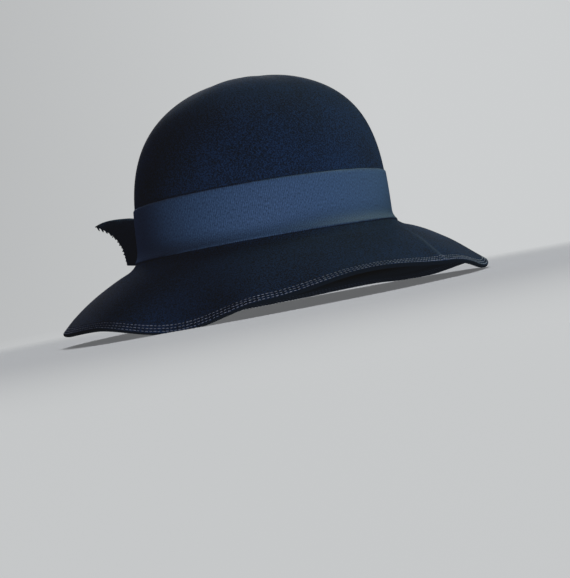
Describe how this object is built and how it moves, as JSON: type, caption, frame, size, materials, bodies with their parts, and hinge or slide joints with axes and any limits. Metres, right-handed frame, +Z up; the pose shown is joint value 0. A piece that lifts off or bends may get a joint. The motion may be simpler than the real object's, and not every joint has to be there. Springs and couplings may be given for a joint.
{
  "type": "felt fedora hat with a round crown",
  "caption": "Soft navy felt hat with a round uncreased crown, a wavy down-turned brim with a stitched edge, a grosgrain ribbon band and a flat side bow; it stands on its brim.",
  "frame": {"origin": "on the surface that the hat stands on, under the middle of the brim's box", "axes": "+Z up, -Y the front of the hat, +X the wearer's left; the bow is on the wearer's right"},
  "size_m": [0.2841, 0.3139, 0.1587],
  "materials": {
    "felt": "matt fur felt with a short brushed nap, navy",
    "ribbon": "grosgrain ribbon with fine upright ribs and a low sheen, lighter navy"
  },
  "bodies": {
    "root": {"felt_body": "felt", "hat_band": "ribbon", "bow_ribbon": "ribbon", "bow_knot": "ribbon"}
  },
  "joints": []
}
